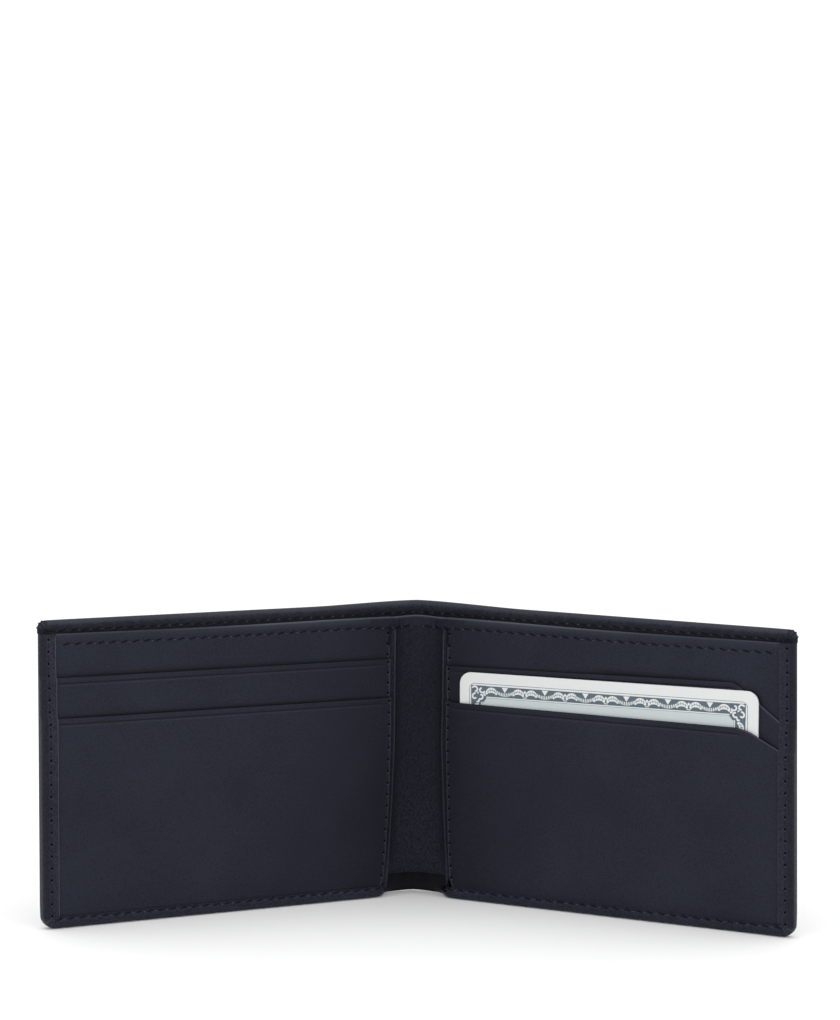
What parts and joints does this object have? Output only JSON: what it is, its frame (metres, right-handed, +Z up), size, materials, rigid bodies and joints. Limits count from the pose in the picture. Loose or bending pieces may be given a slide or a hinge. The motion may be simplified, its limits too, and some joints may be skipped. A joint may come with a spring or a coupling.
{
  "type": "bifold wallet",
  "caption": "Slim bifold leather wallet that folds about a soft spine, with card pockets on both leaves, a banknote compartment and a card that slides out.",
  "frame": {"origin": "centre of the bottom of the box that holds the wallet standing open on its bottom edges", "axes": "+X to the right leaf, seen from the open side; +Y away from the open side, towards the back of the spine; +Z up, along the fold"},
  "size_m": [0.1996, 0.055, 0.081],
  "materials": {
    "cover_leather": "grained leather, satin",
    "pocket_leather": "smooth leather with a fine grain, satin",
    "spine_leather": "soft creased leather, matte",
    "lining_cloth": "fine twill lining, matte",
    "board": "bonded leather board, matte",
    "thread": "waxed polyester thread",
    "card_plastic": "satin card stock with an engraved ornamental border"
  },
  "bodies": {
    "spine": {"cover_spine": "cover_leather", "cover_hem_spine": "cover_leather", "bottom_turn_in_spine": "cover_leather", "bill_lining_spine": "lining_cloth", "spine_strip": "spine_leather", "spine_strip_hem": "spine_leather", "hem_stitches_spine": "thread", "cover_hem_stitches_spine": "thread"},
    "left_leaf": {"cover_left": "cover_leather", "cover_hem_left": "cover_leather", "side_turn_in_left": "cover_leather", "bottom_turn_in_left": "cover_leather", "interlining_left": "board", "bill_lining_left": "lining_cloth", "divider_lining_left": "lining_cloth", "panel_left": "pocket_leather", "panel_hem_left": "pocket_leather", "upper_pocket_left": "pocket_leather", "upper_slot_lining_left": "lining_cloth", "lower_pocket_left": "pocket_leather", "edge_stitches_left": "thread", "hem_stitches_left": "thread", "cover_hem_stitches_left": "thread", "spine_seam_stitches_left": "thread"},
    "right_leaf": {"cover_right": "cover_leather", "cover_hem_right": "cover_leather", "side_turn_in_right": "cover_leather", "bottom_turn_in_right": "cover_leather", "interlining_right": "board", "bill_lining_right": "lining_cloth", "divider_lining_right": "lining_cloth", "panel_right": "pocket_leather", "panel_hem_right": "pocket_leather", "rear_pocket_right": "pocket_leather", "rear_slot_lining_right": "lining_cloth", "front_pocket_right": "pocket_leather", "edge_stitches_right": "thread", "hem_stitches_right": "thread", "cover_hem_stitches_right": "thread", "spine_seam_stitches_right": "thread"},
    "card": {"card": "card_plastic"}
  },
  "joints": [
    {"name": "left_fold", "type": "hinge", "parent": "spine", "child": "left_leaf", "pos_m": [-0.00575, 0.02314, 0.0405], "axis": [0, 0, 1], "range_deg": [-26, 64]},
    {"name": "right_fold", "type": "hinge", "parent": "spine", "child": "right_leaf", "pos_m": [0.00575, 0.02314, 0.0405], "axis": [0, 0, -1], "range_deg": [-26, 64]},
    {"name": "card_slide", "type": "slide", "parent": "right_leaf", "child": "card", "axis": [-0.013, 0.0064, 0.9999], "range_m": [-0.005, 0.05]}
  ],
  "couplings": [
    {"joint": "right_fold", "follows": "left_fold", "ratio": 1}
  ]
}
